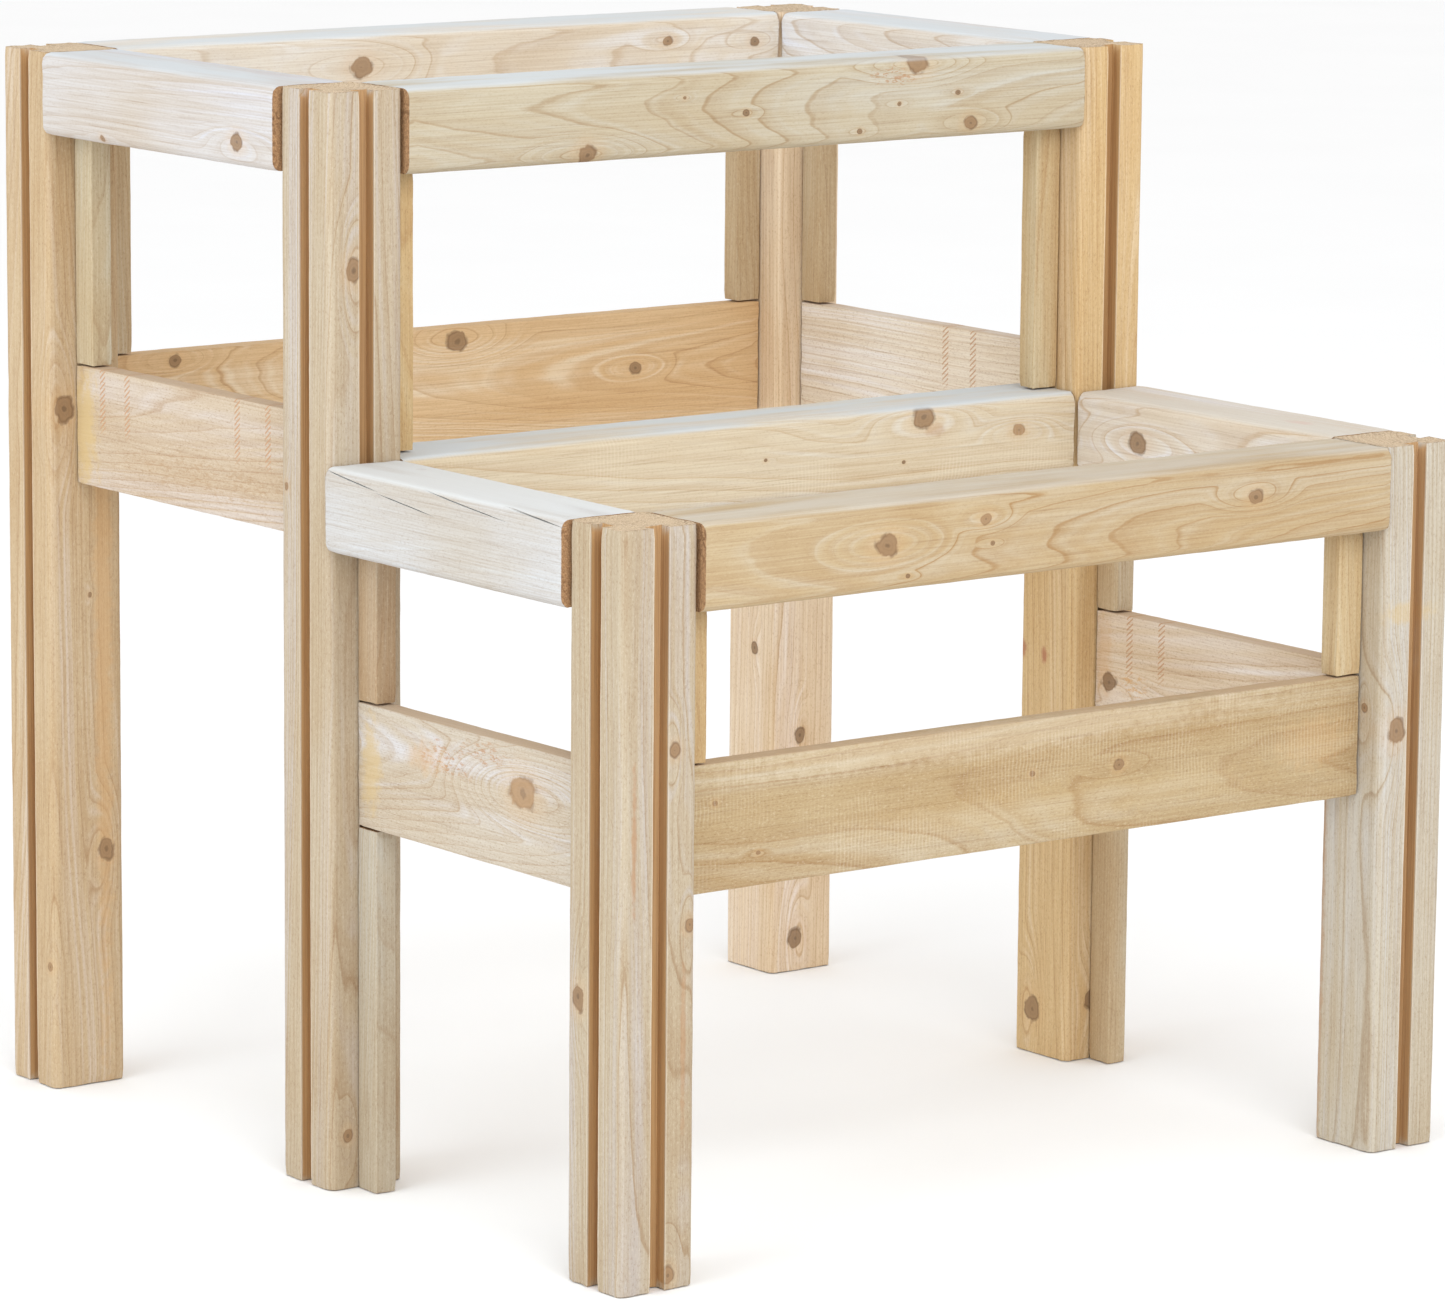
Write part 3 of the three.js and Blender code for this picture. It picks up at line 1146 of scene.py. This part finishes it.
@dataclass
class PostSet:
    """The six grooved posts.

    Attributes:
        arris: Radius of the posts' long edges.
        groove_width: Width of a groove.
        groove_depth: Depth of a groove.
    """

    arris: float = 6.5 * MM
    groove_width: float = 12 * MM
    groove_depth: float = 10 * MM

    def post(self, row: str, hand: str, finish: CedarFinish, seed: float, **marks: object) -> Timber:
        """Sets out one post.

        Args:
            row: front, mid or back.
            hand: left or right.
            finish: Its finish.
            seed: Its own figure.
            **marks: Knots, stains and the rest.

        Returns:
            The timber.
        """
        outer = Side.BACK if row == "back" else Side.FRONT
        end = Side.LEFT if hand == "left" else Side.RIGHT
        return Timber(
            f"post_{row}_{hand}",
            Grain.UPRIGHT,
            finish,
            "post_cedar",
            self.arris,
            seed,
            grooves=(outer, end),
            groove_width=self.groove_width,
            groove_depth=self.groove_depth,
            **marks,
        )

    def timbers(self) -> list[Timber]:
        """All six posts with the knots and stains that each one has."""
        front, left = Side.FRONT, Side.LEFT
        # Each tone is partly the post's own colour, partly painted light and shade for how the light falls
        # on it.
        return [
            self.post(
                "back", "left", POST_WARM, 3.1,
                tone=(0.87, 0.94, 1.08),
                pith=(0.06, 0.05), tilt=(0.03, 0.01),
                knots=(
                    Knot(front, 0.66, 0.21, 8 * MM, 0.75), Knot(front, 0.48, 0.54, 2 * MM),
                    Knot(front, 0.23, 0.74, 7 * MM, 0.55), Knot(left, 0.12, 0.1, 3 * MM, 0.4),
                ),
                stains=(Stain(front, 0.55, 0.72, 0.5, 9 * MM, AMBER, 0.4),),
            ),
            self.post(
                "mid", "left", POST_PALE, 7.7,
                tone=(0.78, 0.82, 0.94),
                pith=(-0.02, 0.07), tilt=(0.05, 0.02),
                knots=(
                    Knot(front, 0.84, 0.33, 7 * MM, 0.65), Knot(front, 0.05, 0.24, 4 * MM, 0.5),
                    Knot(left, 0.64, 0.86, 2.5 * MM, 0.6), Knot(left, 0.965, 0.5, 4 * MM, 0.9),
                ),
            ),
            self.post(
                "front", "left", POST_PALE, 12.9,
                tone=(0.75, 0.79, 0.90),
                pith=(0.03, 0.09), tilt=(-0.04, 0.03),
                knots=(
                    Knot(left, 0.38, 0.77, 7 * MM, 0.75), Knot(front, 0.71, 0.68, 4.5 * MM, 0.6),
                    Knot(front, 0.48, 0.9, 4 * MM, 0.5), Knot(front, 0.02, 0.64, 5 * MM, 0.4),
                ),
                stains=(
                    Stain(front, 0.60, 0.16, 60 * MM, 2.5 * MM, LEAF_BROWN, 0.55),
                    Stain(front, 0.33, 0.82, 70 * MM, 2.5 * MM, LEAF_BROWN, 0.45),
                ),
            ),
            self.post(
                "back", "right", POST_WARM, 17.3,
                tone=(1.24, 1.45, 1.95),
                pith=(-0.05, 0.04), tilt=(0.02, 0.03),
                knots=(
                    Knot(left, 0.82, 0.93, 8 * MM, 0.8), Knot(left, 0.34, 0.42, 4 * MM, 0.7),
                    Knot(front, 0.25, 0.43, 5 * MM, 0.75), Knot(front, 0.035, 0.39, 7 * MM, 0.75),
                ),
            ),
            self.post(
                "mid", "right", POST_WARM, 21.8,
                tone=(1.03, 1.07, 1.05),
                pith=(0.04, -0.05), tilt=(0.04, 0.02),
                knots=(
                    Knot(left, 0.045, 0.65, 8 * MM, 0.6), Knot(front, 0.06, 0.42, 7 * MM, 0.8),
                ),
                stains=(
                    Stain(left, 0.405, 0.93, 9 * MM, 5 * MM, BRICK_RED, 0.75),
                    Stain(left, 0.400, 0.52, 8 * MM, 4 * MM, BRICK_RED, 0.8),
                    Stain(left, 0.7, 0.6, 20 * MM, 14 * MM, AMBER, 0.5),
                ),
            ),
            self.post(
                "front", "right", POST_GREY, 26.4,
                tone=(0.89, 0.97, 1.10),
                pith=(0.08, -0.03), tilt=(0.02, 0.05),
                knots=(
                    Knot(front, 0.6, 0.24, 8 * MM, 0.6), Knot(left, 0.63, 0.3, 3 * MM, 0.5),
                ),
                stains=(
                    Stain(front, 0.765, 0.4, 9 * MM, 30 * MM, STRAW, 0.45),
                    Stain(left, 0.5, 0.95, 0.6, 5 * MM, LEAF_BROWN, 0.45),
                ),
            ),
        ]


@dataclass
class BarSet:
    """Level timbers between the posts.

    Attributes:
        kind: What they are called in their nodes' names.
        arris: Radius of their long edges.
    """

    kind: str
    arris: float

    def bar(
        self, tier: str, place: str, finish: CedarFinish, slot: str, seed: float, **marks: object
    ) -> Timber:
        """Sets out one level timber.

        Args:
            tier: tall or low.
            place: left, right, back or front.
            finish: Its finish.
            slot: The record's material slot.
            seed: Its own figure.
            **marks: Knots, stains and the rest.

        Returns:
            The timber.
        """
        grain = Grain.ALONG if place in ("left", "right") else Grain.ACROSS
        return Timber(f"{self.kind}_{tier}_{place}", grain, finish, slot, self.arris, seed, **marks)


@dataclass
class RimSet(BarSet):
    """The eight thick rims that close the tops of the two tiers."""

    kind: str = "rim"
    arris: float = 8 * MM

    def timbers(self) -> list[Timber]:
        """All eight rims."""
        front, left, top = Side.FRONT, Side.LEFT, Side.TOP
        tall, low = "tall_rim_cedar", "low_rim_cedar"
        # Each tone is partly the rim's own colour, partly painted light and shade; the rims seen inside
        # the beds are painted paler and bluer.
        return [
            self.bar(
                "tall", "left", replace(TALL_RIM, figure=0.55), tall, 31.2,
                tone=(0.91, 1.04, 1.44),
                pith=(0.07, 0.07), tilt=(0.02, 0.03),
                knots=(Knot(left, 0.15, 0.29, 6 * MM, 0.7), Knot(left, 0.73, 0.08, 2.5 * MM, 0.6)),
            ),
            self.bar(
                "tall", "right", TALL_RIM, tall, 36.6,
                tone=(1.11, 1.32, 1.88),
                pith=(-0.09, 0.03), tilt=(0.07, 0.04),
            ),
            self.bar(
                "tall", "back", replace(TALL_RIM, figure=0.7), tall, 41.9,
                tone=(1.12, 1.26, 1.60),
                pith=(0.10, 0.01), tilt=(0.06, 0.03),
                knots=(
                    Knot(front, 0.35, 0.59, 8 * MM, 0.5), Knot(front, 0.82, 0.7, 4 * MM, 0.5),
                    Knot(front, 0.96, 0.63, 4 * MM, 0.8),
                ),
            ),
            self.bar(
                "tall", "front", replace(TALL_RIM, ring=3.2 * MM), tall, 45.3,
                tone=(0.84, 0.90, 0.97),
                pith=(0.075, -0.012), tilt=(0.05, 0.06),
                knots=(
                    Knot(front, 0.25, 0.10, 7 * MM, 0.7), Knot(front, 0.39, 0.69, 1.5 * MM, 0.8),
                    Knot(front, 0.74, 0.95, 8 * MM, 0.55), Knot(front, 0.48, 0.47, 2.2 * MM, 0.9),
                    Knot(front, 0.71, 0.46, 1.6 * MM, 0.8), Knot(front, 0.80, 0.55, 2 * MM, 0.9),
                    Knot(front, 0.82, 0.17, 5 * MM, 0.6), Knot(front, 0.65, 0.16, 2 * MM, 0.8),
                ),
                stains=(Stain(front, 0.70, 0.80, 26 * MM, 9 * MM, LEAF_BROWN, 0.7, True),),
            ),
            self.bar(
                "low", "left", PALE_RIM, "pale_rim_cedar", 50.5,
                tone=(0.84, 0.90, 0.98),
                pith=(0.06, 0.07), tilt=(0.04, 0.02),
                knots=(Knot(top, 0.83, 0.73, 3 * MM, 0.7),),
                splits=(
                    Split(left, 0.885, 0.90, 0.070, 0.9 * MM, 6.0),
                    Split(left, 0.65, 0.765, 0.072, 0.8 * MM, 6.0),
                    Split(left, 0.40, 0.90, 0.105, 0.8 * MM, 5.0),
                    Split(left, 0.14, 0.95, 0.085, 1.0 * MM, 4.0),
                ),
            ),
            self.bar(
                "low", "right", LOW_RIM, low, 55.8,
                tone=(1.10, 1.33, 2.0),
                pith=(0.08, 0.03), tilt=(0.05, 0.04),
                knots=(Knot(left, 0.75, 0.49, 8 * MM, 0.65),),
                stains=(Stain(top, 0.23, 0.45, 16 * MM, 8 * MM, RUST_RED, 0.4),),
            ),
            self.bar(
                # This rim's grey-blue top: partly weathering, partly painted reflection of the cool light
                # from above.
                "low", "back", replace(LOW_RIM, figure=0.7, top=BLUE_TOP_SHEEN, top_turned=0.9), low, 60.1,
                tone=(1.06, 1.22, 1.58),
                pith=(0.075, 0.05), tilt=(0.02, 0.025),
                knots=(
                    Knot(front, 0.76, 0.86, 8 * MM, 0.5), Knot(front, 0.52, 0.54, 1.5 * MM, 0.9),
                    Knot(front, 0.73, 0.34, 1.4 * MM, 0.9), Knot(front, 0.91, 0.59, 5 * MM, 0.15, 1.6),
                ),
                stains=(Stain(front, 0.78, 0.69, 12 * MM, 6 * MM, LEAF_BROWN, 0.4),),
                chatter=0.5,
            ),
            self.bar(
                "low", "front", replace(LOW_RIM, ring=3.0 * MM), low, 65.4,
                tone=(0.82, 0.85, 0.91),
                pith=(0.08, -0.02), tilt=(0.04, 0.05),
                knots=(
                    Knot(front, 0.25, 0.53, 8 * MM, 0.65), Knot(front, 0.39, 0.70, 4 * MM, 0.35),
                    Knot(front, 0.40, 0.42, 1.6 * MM, 0.8), Knot(front, 0.28, 0.16, 1.5 * MM, 0.9),
                    Knot(front, 0.79, 0.60, 5.5 * MM, 0.6),
                ),
            ),
        ]


@dataclass
class BoardSet(BarSet):
    """The six thin boards that hold the soil lower down."""

    kind: str = "board"
    arris: float = 1.5 * MM

    def timbers(self) -> list[Timber]:
        """All six boards."""
        front, left = Side.FRONT, Side.LEFT
        # Each tone is partly the board's own colour, partly painted light and shade; the boards seen
        # inside the beds are painted paler and bluer.
        return [
            self.bar(
                "tall", "left", BOARD, "board_cedar", 71.2,
                tone=(0.90, 0.95, 1.13),
                pith=(0.08, 0.04), tilt=(0.03, 0.05), rollers=(0.88, 0.77, 0.29, 0.16),
                stains=(
                    Stain(left, 0.97, 0.5, 24 * MM, 60 * MM, STRAW, 0.75),
                    Stain(left, 0.45, 0.30, 0.16, 20 * MM, KNOT_BROWN, 0.45, True),
                ),
            ),
            self.bar(
                "tall", "right", BOARD, "board_cedar", 75.5,
                tone=(1.24, 1.45, 1.93),
                pith=(0.08, -0.05), tilt=(0.03, 0.05), rollers=(0.40, 0.29),
            ),
            self.bar(
                "tall", "back", WARM_BOARD, "warm_board_cedar", 80.9,
                tone=(1.16, 1.43, 1.88),
                pith=(0.07, 0.01), tilt=(0.05, 0.06),
                knots=(
                    Knot(front, 0.10, 0.92, 5 * MM, 0.6), Knot(front, 0.52, 0.87, 8 * MM, 0.55),
                    Knot(front, 0.80, 0.49, 5 * MM, 0.6),
                ),
            ),
            self.bar(
                "low", "left", BOARD, "board_cedar", 86.3,
                tone=(0.87, 0.99, 1.28),
                pith=(0.05, 0.02), tilt=(0.09, 0.05),
                knots=(Knot(left, 0.29, 0.63, 12 * MM, 0.12, 1.8),),
                stains=(
                    Stain(left, 0.62, 0.72, 34 * MM, 16 * MM, LEAF_BROWN, 0.8, True),
                    Stain(left, 0.45, 0.86, 34 * MM, 10 * MM, LEAF_BROWN, 0.7, True),
                    Stain(left, 0.94, 0.5, 14 * MM, 40 * MM, STRAW, 0.55),
                    Stain(left, 0.70, 0.70, 26 * MM, 14 * MM, AMBER, 0.3),
                ),
            ),
            self.bar(
                "low", "right", BOARD, "board_cedar", 92.0,
                tone=(1.14, 1.25, 1.54),
                pith=(0.06, 0.05), tilt=(0.05, 0.03),
                knots=(Knot(left, 0.94, 0.39, 7 * MM, 0.8),), rollers=(0.86, 0.73),
                stains=(
                    Stain(left, 0.84, 0.42, 20 * MM, 15 * MM, AMBER, 0.8, True),
                    Stain(left, 0.965, 0.6, 12 * MM, 40 * MM, AMBER, 0.35),
                ),
            ),
            self.bar(
                "low", "front", BOARD, "board_cedar", 97.7,
                tone=(0.74, 0.72, 0.64),
                pith=(0.10, 0.00), tilt=(0.02, 0.03),
                knots=(
                    Knot(front, 0.63, 0.54, 4 * MM, 0.6), Knot(front, 0.50, 0.57, 2.2 * MM, 0.6),
                    Knot(front, 0.05, 0.69, 2 * MM, 0.5), Knot(front, 0.11, 0.26, 1.8 * MM, 0.6),
                ),
                stains=(
                    Stain(front, 0.45, 0.92, 0.32, 16 * MM, CREAM, 0.18),
                    Stain(front, 0.55, 0.30, 0.24, 18 * MM, STRAW, 0.15),
                    Stain(front, 0.93, 0.50, 40 * MM, 22 * MM, AMBER, 0.2),
                ),
                chatter=0.45,
            ),
        ]


@dataclass
class SpacerSet:
    """The upright spacers between rims and boards, and the two props on the floor.

    Attributes:
        arris: Radius of the spacers' edges.
    """

    arris: float = 1.5 * MM

    def timbers(self) -> list[Timber]:
        """All the spacers and props."""
        names = [f"spacer_tall_{face}_{hand}" for face in ("back", "front") for hand in ("left", "right")]
        names += [f"spacer_low_front_{hand}" for hand in ("left", "right")]
        names += [
            f"spacer_{tier}_{hand}_{end}"
            for tier in ("tall", "low")
            for hand in ("left", "right")
            for end in ("front", "back")
        ]
        names += ["prop_left", "prop_right"]
        # These tones are partly the spacers' own colour, partly painted light and shade for how the light
        # falls on each.
        tones = {
            "spacer_tall_front_left": (1.00, 0.98, 0.86),
            "spacer_tall_front_right": (0.92, 0.93, 0.88),
            "spacer_tall_left_back": (0.90, 1.03, 1.20),
            "spacer_low_front_left": (0.88, 0.87, 0.80),
            "spacer_low_front_right": (0.92, 0.92, 0.86),
            "spacer_low_left_back": (0.75, 0.74, 0.79),
            "prop_left": (0.80, 0.95, 1.25),
        }
        return [
            Timber(
                name,
                Grain.UPRIGHT,
                SPACER,
                "spacer_cedar",
                self.arris,
                101.0 + 3.7 * number,
                pith=(0.05 - 0.02 * (number % 4), 0.06),
                tone=tones.get(name, (0.88, 0.92, 0.98)),
            )
            for number, name in enumerate(names)
        ]


# Studio


@dataclass
class Studio:
    """Floor, light and camera.

    Attributes:
        eye: Where the camera stands.
        turn: How far it looks to the right of the planter's back, in degrees.
        dip: How far it looks down, in degrees.
        roll: How far it leans, in degrees.
        lens: Focal length in millimetres, on a sensor 36 mm wide.
    """

    eye: Vector = field(default_factory=lambda: Vector((-3.0034, -3.9662, 1.2379)))
    turn: float = 37.202
    dip: float = 10.129
    roll: float = 0.491
    lens: float = 168.75

    def camera(self) -> None:
        """Sets the camera up."""
        data = bpy.data.cameras.new("camera")
        data.sensor_fit = "HORIZONTAL"
        data.sensor_width = 36.0
        data.lens = self.lens
        data.clip_start = 0.1
        data.clip_end = 100.0
        camera = bpy.data.objects.new("camera", data)
        bpy.context.scene.collection.objects.link(camera)
        turn = Matrix.Rotation(-math.radians(self.turn), 4, "Z")
        dip = Matrix.Rotation(math.radians(90.0 - self.dip), 4, "X")
        roll = Matrix.Rotation(math.radians(self.roll), 4, "Z")
        camera.matrix_world = Matrix.Translation(self.eye) @ turn @ dip @ roll
        bpy.context.scene.camera = camera

    def lamp(
        self, name: str, place: Vector, aim: Vector, size: float, power: float, colour: Colour
    ) -> None:
        """Hangs one large soft lamp.

        Args:
            name: The lamp's name.
            place: Where it hangs.
            aim: What it points at.
            size: Side of its square face.
            power: Power in watts.
            colour: Light colour.
        """
        data = bpy.data.lights.new(name, "AREA")
        data.shape = "SQUARE"
        data.size = size
        data.energy = power
        data.color = colour
        lamp = bpy.data.objects.new(name, data)
        lamp.location = place
        lamp.rotation_euler = (aim - place).to_track_quat("-Z", "Y").to_euler()
        bpy.context.scene.collection.objects.link(lamp)

    def floor(self) -> None:
        """Lays a wide pale floor."""
        Bench.clear()
        bpy.ops.mesh.primitive_plane_add(size=60.0, location=(0.0, 0.0, 0.0))
        floor = bpy.context.object
        floor.name = "studio_floor"
        sh = Shader("studio_white")
        place = sh.add("ShaderNodeTexCoord").outputs["Object"]
        tone = sh.mix(sh.noise(place, 3.0), shade(252, 252, 252), shade(249, 249, 249))
        sh.feed(sh.surface.inputs["Base Color"], tone)
        sh.surface.inputs["Roughness"].default_value = 0.9
        sh.surface.inputs["Specular IOR Level"].default_value = 0.1
        floor.data.materials.append(sh.material)

    def light(self) -> None:
        """Fills the room with soft white light, with a little more of it from the left."""
        world = bpy.data.worlds.new("studio")
        world.use_nodes = True
        sky = world.node_tree.nodes["Background"]
        sky.inputs["Color"].default_value = (1.0, 1.0, 1.0, 1.0)
        sky.inputs["Strength"].default_value = 1.0
        bpy.context.scene.world = world
        middle = Vector((0.0, 0.0, 0.4))
        self.lamp("left_softbox", Vector((-3.4, -0.4, 1.6)), middle, 2.6, 50.0, (0.80, 0.92, 1.0))
        self.lamp("front_softbox", Vector((-1.2, -3.8, 2.6)), middle, 2.6, 80.0, (0.95, 0.98, 1.0))

    def set_up(self) -> None:
        """Camera, floor and light together."""
        self.camera()
        self.floor()
        self.light()
        bpy.context.scene.view_settings.view_transform = "Standard"


def main() -> None:
    """Builds the planter, logs how many pieces each set has, and sets the studio up."""
    logging.basicConfig(level=logging.INFO, format="%(name)s: %(message)s", stream=sys.stdout)
    for part in (PostSet(), RimSet(), BoardSet(), SpacerSet()):
        timbers = part.timbers()
        for timber in timbers:
            timber.build()
        log.info("%s: %d pieces", type(part).__name__, len(timbers))
    Studio().set_up()


if __name__ == "__main__":
    main()
